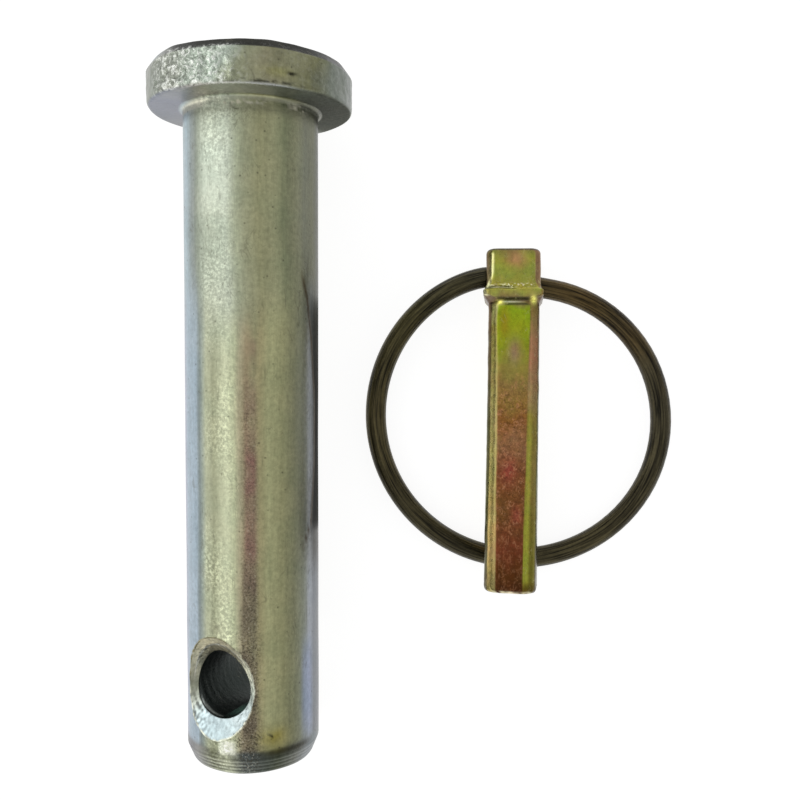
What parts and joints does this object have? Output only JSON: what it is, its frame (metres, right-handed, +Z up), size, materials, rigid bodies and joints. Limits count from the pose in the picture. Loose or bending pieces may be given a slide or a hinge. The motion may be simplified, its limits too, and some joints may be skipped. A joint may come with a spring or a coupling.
{
  "type": "top link pin",
  "caption": "Headed steel pin, cross-drilled near its end, that couples a tractor's top link, with the ring-type linch pin that locks it lying beside it.",
  "frame": {"origin": "on the surface that the two pins lie on, under the middle of their common box", "axes": "+Z up; +Y from the headed pin's drilled end towards its head; +X from the headed pin towards the linch pin"},
  "size_m": [0.104, 0.1326, 0.0385],
  "materials": {
    "zinc_plate": "worn zinc plate on turned steel, satin",
    "yellow_zinc_plate": "yellow passivated zinc plate, satin, iridescent from green to rust red",
    "spring_wire": "dark oiled spring steel wire, glossy"
  },
  "bodies": {
    "pins": {"pin": "zinc_plate", "linch_pin": "yellow_zinc_plate"},
    "ring": {"linch_ring": "spring_wire"}
  },
  "joints": [
    {"name": "ring_swing", "type": "hinge", "parent": "pins", "child": "ring", "pos_m": [0.01919, 0.02713, 0.0066], "axis": [0.9848, -0.1721, -0.0249], "range_deg": [0, 343]}
  ]
}
